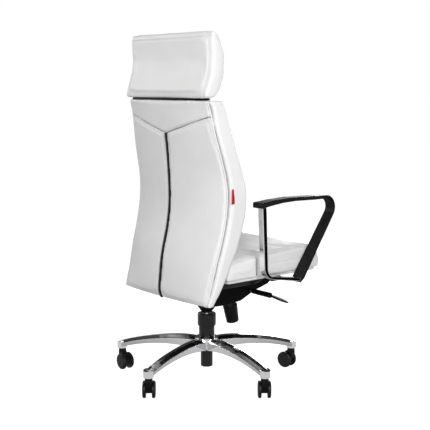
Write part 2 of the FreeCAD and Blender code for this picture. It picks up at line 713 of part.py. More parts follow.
# seat pads
gap = 0.8
rear_pad = slab(
    "seat_rear_outline",
    [
        ("0 - seat_rear - 2", "board_top"), ("0 - seat_rear", "board_top + 10"), ("0 - seat_rear - 15", "seat_rear_height - 6"),
        ("0 - seat_rear - 26", "seat_rear_height"), ("0 - seat_rear - 60", "seat_rear_height + 4"),
        ("0 - seam_forward + 1.5", "seat_seam_height"), ("0 - seam_forward + 0.8", "board_top"),
    ],
    "seat_half*2",
)
front_pad = slab(
    "seat_front_outline",
    [
        ("0 - seam_forward - 0.8", "board_top"), ("0 - seam_forward - 1.5", "seat_seam_height"), ("0 - seam_forward - 100", "seat_seam_height + 6"),
        ("0 - seat_front + 80", "seat_front_height"), ("0 - seat_front + 40", "seat_front_height - 6"), ("0 - seat_front + 14", "seat_front_height - 22"),
        ("0 - seat_front", "seat_front_height - 52"), ("0 - seat_front + 3", "board_top + 12"), ("0 - seat_front + 12", "board_top"),
    ],
    "seat_half*2",
)
doc.recompute()
pads = {}
for name, b in (("seat_rear_pad", rear_pad), ("seat_front_pad", front_pad)):
    s = b.Shape.copy()
    rim = [e for e in s.Edges if abs(abs(e.CenterOfMass.x) - g("seat_half")) < 0.01 and e.CenterOfMass.z > g("board_top") + 20]
    for r in (10.0, 6.0):
        try:
            t = s.makeFillet(r, rim)
            if t.isValid() and t.Volume < s.Volume:
                s = t
                break
        except Exception:
            continue
    pads[name] = s
    for o in list(b.Group):
        doc.removeObject(o.Name)
    doc.removeObject(b.Name)

board = box(-g("board_half"), g("board_half"), -95, 322, zb, zt)

# under-seat cover: a tapered tray open in the middle for the mechanism
def tray(z, w, f0, f1, r, grow=0.0):
    w, f0, f1 = w + grow, f0 - grow, f1 + grow
    return rounded([(-w, -f1), (w, -f1), (w, -f0), (-w, -f0)], [r, r, r, r], lambda q: V(q.x, q.y, z))


rows = [(342.0, 108, -72, 158, 22), (350.0, 118, -82, 172, 28), (368.0, 136, -92, 184, 34), (391.6, 152, -98, 192, 38)]
outside = Part.makeLoft([tray(*r) for r in rows], True, False)
inside = Part.makeLoft([tray(z + (0 if z < 390 else 1), w, f0, f1, max(r - 3, 2), -3.0) for z, w, f0, f1, r in rows], True, False)
inside.translate(V(0, 0, 3.0))
cover = outside.cut(inside)
cover = cover.cut(box(-62, 62, -66, 260, 330, 384))
cover = cover.cut(box(-62, 62, -42, 260, 380, 395))
cover = cover.cut(both_sides(box(109, 300, 71, 143, zb - 6.4, zb + 5)))
cover = cover.cut(box(-43, 43, -150, -40, zb - 8.4, zb + 5))
cover = cover.removeSplitter()

# ---------------------------------------------------------------- armrests
ao = g("arm_outer")


def arm_solid(outline_pts, radii, width):
    wire = rounded(outline_pts, radii, lambda q: P(ao, q.x, q.y))
    return Part.Face(wire).extrude(V(width, 0, 0))


bar = arm_solid(
    [(1.0, 648.0), (14.0, 404.0), (183.0, 375.0), (192.0, 387.0), (31.6, 411.4), (21.0, 650.5)],
    [0, 50.0, 0, 0, 32.0, 0],
    g("arm_bar_width"),
)
bar = bar.makeFillet(2.6, [e for e in bar.Edges if abs(abs(e.CenterOfMass.x) - ao) < 0.01 or abs(abs(e.CenterOfMass.x) - ao + g("arm_bar_width")) < 0.01])
pad_top = arm_solid(
    [(-3, 648), (-3, 666), (60, 671.5), (140, 674.5), (262, 671.0), (262, 658.5), (158, 661.5), (98, 659.5), (59, 655.5), (21, 650.6), (1, 648.1)],
    [0, 4, 0, 0, 0, 0, 0, 0, 0, 0, 0],
    g("arm_pad_width"),
)
band = arm_solid(
    [(262, 671.0), (401, 669.0), (207, 382.0), (189, 369.0), (183.0, 375.0), (192.0, 387.0), (388.0, 657.5), (262, 658.5)],
    [0, 46.0, 4.0, 1.5, 0, 0, 34.0, 0],
    g("arm_band_width"),
)
try:
    t = pad_top.makeFillet(3.5, [e for e in pad_top.Edges if e.CenterOfMass.z > 662 and abs(e.CenterOfMass.y + 262) > 1 and abs(e.CenterOfMass.y + 262) > 5])
    if t.isValid():
        pad_top = t
except Exception:
    pass
try:
    t = band.makeFillet(2.5, [e for e in band.Edges if (abs(abs(e.CenterOfMass.x) - ao) < 0.01 or abs(abs(e.CenterOfMass.x) - ao + g("arm_band_width")) < 0.01) and e.CenterOfMass.z > 395])
    if t.isValid():
        band = t
except Exception:
    pass

# screws, each a head and a shank
screws = []


def screw(x, y, z_head, depth):
    s = Part.makeCylinder(6.5, 4.0, V(x, y, z_head - 4.0)).fuse(Part.makeCylinder(3.0, depth, V(x, y, z_head)))
    hexa = Part.makeCylinder(2.6, 2.6, V(x, y, z_head - 4.0))
    return s.cut(hexa)


for s in (-1, 1):
    for side, fwd in ((175, 88), (175, 126), (205, 107), (135, 107)):
        screws.append(screw(-s * side, -fwd, zb - 6, 14.0))
    for fwd in (-28, 243):
        screws.append(screw(-s * 48, -fwd, zb - 6, 14.0))
    screws.append(screw(-s * 25, 56, zb - 8, 16.0))
    screws.append(screw(-s * 25, 80, zb - 8, 16.0))
fastener_shape = Part.makeCompound(screws)

right_bar, left_bar = bar, bar.mirror(V(0, 0, 0), V(1, 0, 0))
feature("seat_plate", seat_plate.cut(fastener_shape))
feature("seat_board", board.cut(fastener_shape))
feature("underseat_cover", cover)
feature("seat_rear_pad", pads["seat_rear_pad"])
feature("seat_front_pad", pads["seat_front_pad"])
feature("arm_mounts", mounts.cut(fastener_shape))
feature("fasteners", fastener_shape)
feature("back_bracket", bracket.cut(fastener_shape))
feature("back_board", back_board)
feature("back_cushion", cushion)
feature("side_gussets", Part.makeCompound([gusset, gusset.mirror(V(0, 0, 0), V(1, 0, 0))]))
feature("rear_panel_right", right_panel)
feature("rear_panel_left", left_panel)
feature("yoke_panel", yoke)
feature("centre_piping", piping)
feature("side_tag", box(256.3, 258.3, -110, -96, 668, 718))
for name, shape in (("arm_bar", bar), ("arm_pad", pad_top), ("arm_band", band)):
    feature(name + "_right", shape)
    feature(name + "_left", shape.mirror(V(0, 0, 0), V(1, 0, 0)))

# ---------------------------------------------------------------- castors
# bearings that the castors trail along, one per leg, in degrees
TRAIL = [100.0, 178.0, -40.0, -40.0, 10.0]
ct, cw = g("castor_trail"), g("wheel_radius")
for k in range(int(g("leg_count"))):
    a = math.radians(g("leg_first") + 72.0 * k)
    at_stem = FreeCAD.Placement(V(g("stem_circle") * math.cos(a), g("stem_circle") * math.sin(a), 0), FreeCAD.Rotation(V(0, 0, 1), TRAIL[k]))
    n = k + 1
    h = new_body("castor_%d_housing" % n)
    web = [(-9, 77.5), (9, 77.5), (11.5, 64), (20, 60), (31, 56), (40, 48), (45, 40), (46, 30), (43.5, 22.5), (38, 19), (24, 18.5), (9, 19), (0, 23), (-5, 33), (-9.5, 46), (-11, 60)]
    pad(h, outline(h, "XZ_Plane", web), "web_half*2")
    turn(h, outline(h, "XZ_Plane", [(0, 62.5), ("neck_radius", 62.5), ("neck_radius", 76.4), ("neck_radius - 1.1", 77.5), (0, 77.5)]))
    pad(h, disc(h, "XZ_Plane", "castor_trail", "wheel_radius", "axle_radius"), 41.6)
    turn(h, outline(h, "XZ_Plane", [(0, 59.5), ("stem_hole", 59.5), ("stem_hole", 79), (0, 79)]), cut=True)
    h.Placement = at_stem
    for side, word in ((1, "left"), (-1, "right")):
        w = new_body("castor_%d_wheel_%s" % (n, word))
        prof = [
            ("wheel_inner", "axle_hole"), ("wheel_inner", "wheel_radius - 2"), ("wheel_inner + 1.6", "wheel_radius"), ("wheel_outer - 5.2", "wheel_radius"),
            ("wheel_outer - 3.2", "wheel_radius - 1.2"), ("wheel_outer - 1.6", "wheel_radius - 3.6"), ("wheel_outer - 1.0", "wheel_radius - 6"),
            ("wheel_outer - 0.4", 15), ("wheel_outer", 8), ("wheel_outer", 0), (21.3, 0), (21.3, "axle_hole"),
        ]
        turn(w, outline(w, "YZ_Plane", prof), axis="H_Axis")
        flip = FreeCAD.Rotation(V(0, 0, 1), 0 if side == 1 else 180)
        w.Placement = at_stem.multiply(FreeCAD.Placement(V(ct, 0, cw), flip))

doc.recompute()

# ---------------------------------------------------------------- write the pieces
KEEP = [o for o in doc.Objects if o.TypeId in ("PartDesign::Body", "Part::Feature") and o.Label and not o.Label.endswith(("_outline", "_outside", "_inside"))]
for o in doc.Objects:
    if any(word in ("Invalid", "Error") for word in o.State):
        raise RuntimeError("%s: %s" % (o.Label, o.State))
labels = [o.Label for o in KEEP]
if len(labels) != len(set(labels)):
    raise RuntimeError("labels repeat")
for o in KEEP:
    if o.Shape.isNull() or not o.Shape.isValid() or not o.Shape.Solids:
        raise RuntimeError("%s has no valid solid" % o.Label)
os.makedirs("parts", exist_ok=True)
for name in os.listdir("parts"):
    if name.endswith(".step") and name[:-5] not in labels:
        os.remove(os.path.join("parts", name))
for o in KEEP:
    o.Shape.exportStep("parts/%s.step" % o.Label)
    print("%-22s solids %d  volume %.1f cm3" % (o.Label, len(o.Shape.Solids), o.Shape.Volume / 1000.0))
print(len(KEEP), "pieces")
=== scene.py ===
import json
import math

import bmesh
import bpy
import numpy as np
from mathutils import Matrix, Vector

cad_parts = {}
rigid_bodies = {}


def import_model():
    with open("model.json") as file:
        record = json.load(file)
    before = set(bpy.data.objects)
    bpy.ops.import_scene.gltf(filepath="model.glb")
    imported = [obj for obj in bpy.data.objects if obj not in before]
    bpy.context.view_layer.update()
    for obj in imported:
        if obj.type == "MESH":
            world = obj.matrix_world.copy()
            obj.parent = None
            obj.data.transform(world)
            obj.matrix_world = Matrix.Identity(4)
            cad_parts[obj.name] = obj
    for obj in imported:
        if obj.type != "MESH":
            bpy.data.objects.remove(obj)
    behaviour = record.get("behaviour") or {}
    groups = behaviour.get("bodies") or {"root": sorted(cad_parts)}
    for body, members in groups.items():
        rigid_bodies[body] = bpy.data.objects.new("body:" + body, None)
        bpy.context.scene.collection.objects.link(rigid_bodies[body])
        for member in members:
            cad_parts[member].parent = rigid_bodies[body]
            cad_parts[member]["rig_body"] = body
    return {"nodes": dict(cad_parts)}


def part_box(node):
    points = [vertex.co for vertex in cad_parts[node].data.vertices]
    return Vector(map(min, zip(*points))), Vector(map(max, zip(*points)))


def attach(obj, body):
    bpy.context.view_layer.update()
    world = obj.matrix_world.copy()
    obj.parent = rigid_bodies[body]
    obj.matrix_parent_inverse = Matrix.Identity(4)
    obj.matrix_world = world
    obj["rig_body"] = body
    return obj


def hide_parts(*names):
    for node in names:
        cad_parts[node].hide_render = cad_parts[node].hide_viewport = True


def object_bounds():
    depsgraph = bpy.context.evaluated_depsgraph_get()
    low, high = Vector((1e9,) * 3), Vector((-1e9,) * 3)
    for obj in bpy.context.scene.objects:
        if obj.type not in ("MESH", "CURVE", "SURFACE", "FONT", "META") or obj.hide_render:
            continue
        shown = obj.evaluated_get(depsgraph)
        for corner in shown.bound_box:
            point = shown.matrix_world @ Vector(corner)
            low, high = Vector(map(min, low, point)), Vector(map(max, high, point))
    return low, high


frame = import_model()
cad_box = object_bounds()
NODES = frame["nodes"]
scene = bpy.context.scene
scene.view_settings.view_transform = "Standard"
scene.view_settings.look = "None"


# ------------------------------------------------------------ materials
def new_material(name, colour, rough, metallic=0.0, spec=0.5, coat=0.0, coat_rough=0.1, sheen=0.0):
    m = bpy.data.materials.new(name)
    m.use_nodes = True
    b = m.node_tree.nodes["Principled BSDF"]
    b.inputs["Base Color"].default_value = (*colour, 1)
    b.inputs["Roughness"].default_value = rough
    b.inputs["Metallic"].default_value = metallic
    b.inputs["Specular IOR Level"].default_value = spec
    b.inputs["Coat Weight"].default_value = coat
    b.inputs["Coat Roughness"].default_value = coat_rough
    b.inputs["Sheen Weight"].default_value = sheen
    return m, b


def place(m, scale=(1, 1, 1)):
    t = m.node_tree
    tc = t.nodes.new("ShaderNodeTexCoord")
    mp = t.nodes.new("ShaderNodeMapping")
    mp.inputs["Scale"].default_value = scale
    t.links.new(tc.outputs["Object"], mp.inputs["Vector"])
    return mp.outputs["Vector"]


def noise(m, vec, scale, detail=4.0, rough=0.55):
    n = m.node_tree.nodes.new("ShaderNodeTexNoise")
    n.inputs["Scale"].default_value = scale
    n.inputs["Detail"].default_value = detail
    n.inputs["Roughness"].default_value = rough
    m.node_tree.links.new(vec, n.inputs["Vector"])
    return n.outputs["Fac"]


def ramp(m, fac, stops):
    r = m.node_tree.nodes.new("ShaderNodeValToRGB")
    m.node_tree.links.new(fac, r.inputs["Fac"])
    e = r.color_ramp.elements
    while len(e) > len(stops):
        e.remove(e[-1])
    while len(e) < len(stops):
        e.new(0.5)
    for el, (pos, col) in zip(e, stops):
        el.position = pos
        el.color = (*col, 1) if len(col) == 3 else col
    return r.outputs["Color"]


def grey(v):
    return (v, v, v)


def bump(m, b, height, strength, distance, onto=None):
    n = m.node_tree.nodes.new("ShaderNodeBump")
    n.inputs["Strength"].default_value = strength
    n.inputs["Distance"].default_value = distance
    m.node_tree.links.new(height, n.inputs["Height"])
    if onto is not None:
        m.node_tree.links.new(onto, n.inputs["Normal"])
    m.node_tree.links.new(n.outputs["Normal"], b.inputs["Normal"])
    return n.outputs["Normal"]


def varied(m, b, vec, colour_a, colour_b, scale, rough_a, rough_b, rough_scale):
    c = ramp(m, noise(m, vec, scale), [(0.32, colour_a), (0.68, colour_b)])
    m.node_tree.links.new(c, b.inputs["Base Color"])
    r = ramp(m, noise(m, vec, rough_scale), [(0.3, grey(rough_a)), (0.7, grey(rough_b))])
    m.node_tree.links.new(r, b.inputs["Roughness"])


def leather(name, a, c, rough_a, rough_b, grain=0.22):
    m, b = new_material(name, a, 0.4, spec=0.42, sheen=0.06)
    vec = place(m)
    varied(m, b, vec, a, c, 9.0, rough_a, rough_b, 26.0)
    v = m.node_tree.nodes.new("ShaderNodeTexVoronoi")
    v.feature = "DISTANCE_TO_EDGE"
    v.inputs["Scale"].default_value = 620.0
    v.inputs["Randomness"].default_value = 1.0
    warp = m.node_tree.nodes.new("ShaderNodeMixRGB")
    warp.inputs["Fac"].default_value = 0.004
    wn = m.node_tree.nodes.new("ShaderNodeTexNoise")
    wn.inputs["Scale"].default_value = 160.0
    m.node_tree.links.new(vec, wn.inputs["Vector"])
    m.node_tree.links.new(vec, warp.inputs["Color1"])
    m.node_tree.links.new(wn.outputs["Color"], warp.inputs["Color2"])
    m.node_tree.links.new(warp.outputs["Color"], v.inputs["Vector"])
    pebble = ramp(m, v.outputs["Distance"], [(0.0, grey(0.0)), (0.32, grey(1.0))])
    soft = bump(m, b, noise(m, vec, 34.0, 3.0), 0.10, 0.004)
    bump(m, b, pebble, grain, 0.00035, soft)
    return m


def metal(name, a, c, rough_a, rough_b, streak=(1, 1, 1), fine=900.0, strength=0.02):
    m, b = new_material(name, a, 0.1, metallic=1.0)
    vec = place(m, streak)
    varied(m, b, vec, a, c, 12.0, rough_a, rough_b, 40.0)
    bump(m, b, noise(m, vec, fine, 2.0), strength, 0.0002)
    return m


def plastic(name, a, c, rough_a, rough_b, coat=0.0, fine=1400.0, strength=0.12, spec=0.3):
    m, b = new_material(name, a, 0.3, spec=spec, coat=coat)
    vec = place(m)
    varied(m, b, vec, a, c, 14.0, rough_a, rough_b, 60.0)
    bump(m, b, noise(m, vec, fine, 3.0), strength, 0.0002)
    return m


M = {
    "leather": leather("white_leather_grain", (0.80, 0.80, 0.795), (0.84, 0.84, 0.84), 0.38, 0.50),
    # The rear covers get a darker copy of the same white leather: painted shade for the lesser light that falls
    # on them.
    "shaded_rear_leather": leather("white_leather_painted_shade", (0.77, 0.77, 0.77), (0.81, 0.81, 0.81), 0.40, 0.52),
    "welt": leather("black_piping_leather", (0.005, 0.005, 0.006), (0.010, 0.010, 0.011), 0.40, 0.55),
    "aluminium": metal("polished_cast_aluminium", (0.84, 0.84, 0.85), (0.90, 0.90, 0.91), 0.05, 0.11, fine=60.0, strength=0.012),
    "chrome": metal("chromed_bar", (0.86, 0.86, 0.87), (0.92, 0.92, 0.93), 0.03, 0.07, fine=60.0, strength=0.01),
    "steel": metal("bright_turned_steel", (0.55, 0.55, 0.56), (0.66, 0.66, 0.67), 0.18, 0.30, (1, 1, 14)),
    "black_steel": plastic("black_powder_coat", (0.0025, 0.0025, 0.003), (0.005, 0.005, 0.0055), 0.42, 0.56, fine=700.0, strength=0.35, spec=0.08),
    "gloss_black": plastic("gloss_black_moulding", (0.003, 0.003, 0.0035), (0.006, 0.006, 0.0065), 0.12, 0.22, coat=0.15, fine=500.0, strength=0.03),
    "satin_black": plastic("satin_black_moulding", (0.003, 0.003, 0.0032), (0.0055, 0.0055, 0.0058), 0.30, 0.42, spec=0.17),
    "soft_black": plastic("soft_black_armpad", (0.005, 0.005, 0.0055), (0.009, 0.009, 0.0095), 0.46, 0.58, fine=1800.0, strength=0.25, spec=0.2),
    "natural": plastic("natural_nylon", (0.66, 0.65, 0.60), (0.74, 0.73, 0.68), 0.35, 0.5),
    "wheel": plastic("castor_tread_black", (0.005, 0.005, 0.0055), (0.011, 0.011, 0.0115), 0.26, 0.44, spec=0.28),
}
# plywood: veneer stripes
m, b = new_material("beech_plywood", (0.62, 0.47, 0.30), 0.55)
v = place(m, (3, 60, 60))
c = ramp(m, noise(m, v, 5.0, 5.0), [(0.3, (0.50, 0.36, 0.21)), (0.7, (0.68, 0.52, 0.34))])
m.node_tree.links.new(c, b.inputs["Base Color"])
bump(m, b, noise(m, v, 12.0), 0.2, 0.0004)
M["plywood"] = m
# white lining felt on the back board, black non-woven cloth under the seat board
m, b = new_material("white_lining", (0.78, 0.78, 0.77), 0.85, sheen=0.15)
v = place(m)
c = ramp(m, noise(m, v, 300.0, 4.0), [(0.3, (0.72, 0.72, 0.71)), (0.7, (0.80, 0.80, 0.79))])
m.node_tree.links.new(c, b.inputs["Base Color"])
bump(m, b, noise(m, v, 900.0, 3.0), 0.4, 0.0004)
M["lining"] = m
m, b = new_material("black_dust_cloth", (0.012, 0.012, 0.012), 0.9, sheen=0.1)
v = place(m)
c = ramp(m, noise(m, v, 500.0, 4.0), [(0.3, (0.010, 0.010, 0.010)), (0.7, (0.020, 0.020, 0.020))])
m.node_tree.links.new(c, b.inputs["Base Color"])
bump(m, b, noise(m, v, 1300.0, 3.0), 0.5, 0.0003)
M["dust"] = m
m, b = new_material("white_thread", (0.74, 0.74, 0.73), 0.6, sheen=0.2)
v = place(m)
c = ramp(m, noise(m, v, 800.0, 2.0), [(0.3, (0.66, 0.66, 0.65)), (0.7, (0.78, 0.78, 0.77))])
m.node_tree.links.new(c, b.inputs["Base Color"])
bump(m, b, noise(m, v, 2500.0, 2.0), 0.4, 0.0002)
M["thread"] = m
# woven red tag
m, b = new_material("red_woven_tag", (0.55, 0.003, 0.006), 0.8, spec=0.2)
v = place(m)
w1 = m.node_tree.nodes.new("ShaderNodeTexWave")
w1.bands_direction = "Z"
w1.inputs["Scale"].default_value = 420.0
m.node_tree.links.new(v, w1.inputs["Vector"])
w2 = m.node_tree.nodes.new("ShaderNodeTexWave")
w2.bands_direction = "Y"
w2.inputs["Scale"].default_value = 420.0
m.node_tree.links.new(v, w2.inputs["Vector"])
c = ramp(m, w1.outputs["Fac"], [(0.2, (0.44, 0.002, 0.004)), (0.8, (0.60, 0.004, 0.008))])
m.node_tree.links.new(c, b.inputs["Base Color"])
bump(m, b, w2.outputs["Fac"], 0.4, 0.0003, bump(m, b, w1.outputs["Fac"], 0.4, 0.0003))
M["tag"] = m


def give(obj, mat):
    if not obj.data.materials:
        obj.data.materials.append(M[mat])
    for i in range(len(obj.data.materials)):
        obj.data.materials[i] = M[mat]


LOOK = {
    "base_casting": "aluminium", "arm_bar_left": "chrome", "arm_bar_right": "chrome",
    "lower_sleeve": "gloss_black", "middle_sleeve": "gloss_black", "upper_sleeve": "gloss_black", "tension_knob": "satin_black",
    "lever_grip": "satin_black", "underseat_cover": "satin_black", "arm_pad_left": "soft_black", "arm_pad_right": "soft_black",
    "arm_band_left": "satin_black", "arm_band_right": "satin_black", "guide_bush": "natural", "release_button": "natural",
    "seat_board": "dust", "back_board": "lining", "centre_piping": "welt", "side_tag": "tag",
    "column_tube": "gloss_black",
}
for n in ("castor_stems", "piston_rod", "thrust_bearing", "gas_cylinder", "pivot_shaft", "lever_rod", "tension_bolt", "fasteners"):
    LOOK[n] = "steel"
for n in range(1, 6):
    LOOK[f"castor_{n}_housing"] = "satin_black"
    LOOK[f"castor_{n}_wheel_left"] = LOOK[f"castor_{n}_wheel_right"] = "wheel"
for n, o in NODES.items():
    give(o, LOOK.get(n, "black_steel"))


# ------------------------------------------------------------ soft pieces
def body_of(node):
    return NODES[node]["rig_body"]


def raw_copy(nodes, name):
    bm = bmesh.new()
    for n in nodes:
        bm.from_mesh(NODES[n].data)
    bmesh.ops.remove_doubles(bm, verts=bm.verts, dist=1e-5)
    mesh = bpy.data.meshes.new(name)
    bm.to_mesh(mesh)
    bm.free()
    obj = bpy.data.objects.new(name, mesh)
    scene.collection.objects.link(obj)
    return obj


def bake(obj):
    """The modifiers' result becomes the mesh."""
    bpy.context.view_layer.update()
    dg = bpy.context.evaluated_depsgraph_get()
    mesh = bpy.data.meshes.new_from_object(obj.evaluated_get(dg), depsgraph=dg)
    old = obj.data
    obj.modifiers.clear()
    obj.data = mesh
    bpy.data.meshes.remove(old)
    mesh.name = obj.name


def points(obj):
    co = np.zeros(len(obj.data.vertices) * 3)
    obj.data.vertices.foreach_get("co", co)
    return co.reshape(-1, 3)


def normals(obj):
    no = np.zeros(len(obj.data.vertices) * 3)
    obj.data.vertices.foreach_get("normal", no)
    return no.reshape(-1, 3)


def put(obj, co):
    obj.data.vertices.foreach_set("co", co.ravel())
    obj.data.update()


def relax(obj, steps, factor=0.5):
    mod = obj.modifiers.new("relax", "SMOOTH")
    mod.iterations = steps
    mod.factor = factor
    bake(obj)


def prepare(name, nodes, voxel, shrink, smooth):
    obj = raw_copy(nodes, name)
    mod = obj.modifiers.new("remesh", "REMESH")
    mod.mode = "VOXEL"
    mod.voxel_size = voxel
    mod.adaptivity = 0.0
    bake(obj)
    relax(obj, smooth)
    put(obj, points(obj) - normals(obj) * shrink)
    return obj


SOFT = [
    # piece, nodes, voxel, shrink, smoothing, cap, fill, slot material
    ("headrest_cushion", ["headrest_pad"], 0.005, 0.0010, 4, 0.0075, 0.85, "leather"),
    ("seat_rear_cushion", ["seat_rear_pad"], 0.006, 0.0010, 3, 0.0070, 0.7, "leather"),
    ("seat_front_cushion", ["seat_front_pad"], 0.006, 0.0010, 3, 0.0080, 0.7, "leather"),
    ("back_front_cushion", ["back_cushion"], 0.006, 0.0010, 3, 0.0080, 0.75, "leather"),
    ("side_gusset_covers", ["side_gussets"], 0.0045, 0.0001, 2, 0.0022, 0.8, "leather"),
    ("rear_cover_left", ["rear_panel_left"], 0.0042, 0.0000, 2, 0.0020, 0.85, "shaded_rear_leather"),
    ("rear_cover_right", ["rear_panel_right"], 0.0042, 0.0000, 2, 0.0020, 0.85, "shaded_rear_leather"),
    ("yoke_cover", ["yoke_panel"], 0.0042, 0.0000, 2, 0.0020, 0.85, "shaded_rear_leather"),
]
made = {}
for name, nodes, voxel, shrink, smooth, cap, fill, mat in SOFT:
    made[name] = prepare(name, nodes, voxel, shrink, smooth)

start, first = {}, {}
for name, nodes, voxel, shrink, smooth, cap, fill, mat in SOFT:
    o = made[name]
    start[name] = points(o)
    first[name] = normals(o)
    mod = o.modifiers.new("cloth", "CLOTH")
    s = mod.settings
    s.quality = 4
    s.mass = 0.3
    s.tension_stiffness = 12
    s.compression_stiffness = 12
    s.shear_stiffness = 4
    s.bending_stiffness = 0.6
    s.use_pressure = True
    s.uniform_pressure_force = 4.0
    s.effector_weights.gravity = 0.0
    mod.collision_settings.use_collision = False
    mod.point_cache.frame_start = 1
    mod.point_cache.frame_end = 20
for f in range(1, 21):
    scene.frame_set(f)
for name, nodes, voxel, shrink, smooth, cap, fill, mat in SOFT:
    o = made[name]
    bake(o)
    d = points(o) - start[name]
    n = first[name]
    out = np.sum(d * n, axis=1, keepdims=True)
    along = d - out * n
    ln = np.linalg.norm(along, axis=1, keepdims=True)
    along *= np.minimum(1.0, 0.0012 / np.maximum(ln, 1e-9))
    put(o, start[name] + np.clip(out, -0.0008, cap) * n + along)
    relax(o, 2, 0.5)
scene.frame_set(1)

for name in made:
    o = made[name]
    mod = o.modifiers.new("sub", "SUBSURF")
    mod.levels = mod.render_levels = 1
    bake(o)


def wave(p, seed, scale):
    """Smooth repeatable unevenness from -1 to 1."""
    r = np.random.RandomState(seed)
    out = np.zeros(len(p))
    for k in range(7):
        d = r.normal(size=3)
        d /= np.linalg.norm(d)
        out += np.sin(p @ d * (2 * math.pi / scale) * r.uniform(0.6, 1.8) + r.uniform(0, 6.28))
    return out / 4.0


def press(obj, dist, width, depth, mask=None):
    """Pulls the surface in along a sewn seam. dist is how far each point is from it."""
    p = points(obj)
    a = depth * np.exp(-((dist / width) ** 2))
    if mask is not None:
        a = a * mask
    put(obj, p - normals(obj) * a[:, None])


def uneven(obj, seed, scale, amount, mask=None):
    p = points(obj)
    a = amount * wave(p, seed, scale)
    if mask is not None:
        a = a * mask
    put(obj, p + normals(obj) * a[:, None])


def step(x, a, b):
    t = np.clip((x - a) / (b - a), 0, 1)
    return t * t * (3 - 2 * t)


def relax_where(obj, weight, steps):
    """Smooths only where the weight says."""
    g = obj.vertex_groups.new(name="soft")
    for lev in range(1, 5):
        ids = [int(i) for i in np.nonzero((weight > (lev - 1) / 4) & (weight <= lev / 4))[0]]
        if ids:
            g.add(ids, lev / 4, "REPLACE")
    mod = obj.modifiers.new("relax", "SMOOTH")
    mod.iterations = steps
    mod.factor = 0.5
    mod.vertex_group = "soft"
    bake(obj)
    obj.vertex_groups.clear()


# headrest: end seams, a seam under the rear top edge, and soft puckers at the corners
o = made["headrest_cushion"]
lo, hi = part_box("headrest_pad")
p = points(o)
half = (hi.x - lo.x) / 2
cx = (hi.x + lo.x) / 2
relax_where(o, step(np.abs(p[:, 0] - cx), half - 0.045, half - 0.018), 46)
p = points(o)
end = np.abs(np.abs(p[:, 0] - cx) - (half - 0.020))
press(o, end, 0.0026, 0.0012)
p = points(o)
rear = step(p[:, 1], 0.150, 0.160)
top = np.abs(p[:, 2] - (hi.z - 0.017))
press(o, top, 0.0026, 0.0024, rear)
p = points(o)
near_end = np.exp(-((np.abs(np.abs(p[:, 0] - cx) - (half - 0.028)) / 0.030) ** 2))
uneven(o, 3, 0.045, 0.0011, near_end)
uneven(o, 4, 0.11, 0.0009)

# seat: a seam round the sides, and light creases
for name, node, seed in (("seat_rear_cushion", "seat_rear_pad", 5), ("seat_front_cushion", "seat_front_pad", 6)):
    o = made[name]
    lo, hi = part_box(node)
    p = points(o)
    side = np.abs(p[:, 2] - (lo.z + 0.040))
    press(o, side, 0.0027, 0.0010, step(np.abs(p[:, 0]), 0.222, 0.232))
    p = points(o)
    edge = np.exp(-((np.abs(np.abs(p[:, 0]) - 0.205) / 0.03) ** 2))
    uneven(o, seed, 0.05, 0.0010, edge)
    uneven(o, seed + 20, 0.14, 0.0013)

# front of the back: bolster seams and one seam across
o = made["back_front_cushion"]
p = points(o)
front = step(-p[:, 1], 0.02, 0.03)
press(o, np.abs(np.abs(p[:, 0]) - 0.168), 0.0032, 0.0038)
p = points(o)
press(o, np.abs(p[:, 2] - 0.700), 0.0032, 0.0036, 1 - step(np.abs(p[:, 0]), 0.160, 0.170))
uneven(o, 8, 0.13, 0.0014)

# rear covers and gussets: small uneven puckers
for name, seed in (("rear_cover_left", 11), ("rear_cover_right", 12), ("yoke_cover", 13)):
    uneven(made[name], seed, 0.16, 0.0006)
o = made["side_gusset_covers"]
uneven(o, 15, 0.12, 0.0007)

for name, nodes, voxel, shrink, smooth, cap, fill, mat in SOFT:
    o = made[name]
    o.data.materials.clear()
    o.data.materials.append(M[mat])
    for poly in o.data.polygons:
        poly.use_smooth = True
    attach(o, body_of(nodes[0]))
    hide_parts(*nodes)


def tube(name, pts, radius, sides=10, closed=False):
    """A round cord along these points."""
    pts = [Vector(q) for q in pts]
    bm = bmesh.new()
    rings = []
    n = len(pts)
    side = None
    for i, q in enumerate(pts):
        if closed:
            d = (pts[(i + 1) % n] - pts[i - 1]).normalized()
        else:
            d = (pts[min(i + 1, n - 1)] - pts[max(i - 1, 0)]).normalized()
        if side is None:
            side = d.cross(Vector((1, 0, 0)) if abs(d.x) < 0.8 else Vector((0, 1, 0))).normalized()
        side = (side - d * side.dot(d)).normalized()
        up = d.cross(side)
        rings.append([bm.verts.new(q + (side * math.cos(a) + up * math.sin(a)) * radius) for a in (2 * math.pi * k / sides for k in range(sides))])
    for i in range(n if closed else n - 1):
        a, c = rings[i], rings[(i + 1) % n]
        for k in range(sides):
            bm.faces.new((a[k], a[(k + 1) % sides], c[(k + 1) % sides], c[k]))
    if not closed:
        bm.faces.new(rings[0][::-1])
        bm.faces.new(rings[-1])
    bmesh.ops.recalc_face_normals(bm, faces=bm.faces)
    mesh = bpy.data.meshes.new(name)
    bm.to_mesh(mesh)
    bm.free()
    for poly in mesh.polygons:
        poly.use_smooth = True
    obj = bpy.data.objects.new(name, mesh)
    scene.collection.objects.link(obj)
    return obj


def smooth_line(pts, per=6):
    """Catmull-Rom through the points."""
    pts = [np.array(q, float) for q in pts]
    ext = [2 * pts[0] - pts[1]] + pts + [2 * pts[-1] - pts[-2]]
    out = []
    for i in range(1, len(ext) - 2):
        a, b_, c_, d_ = ext[i - 1 : i + 3]
        for k in range(per):
            t = k / per
            out.append(0.5 * (2 * b_ + (c_ - a) * t + (2 * a - 5 * b_ + 4 * c_ - d_) * t * t + (3 * b_ - a - 3 * c_ + d_) * t ** 3))
    out.append(pts[-1])
    return [Vector(q) for q in out]


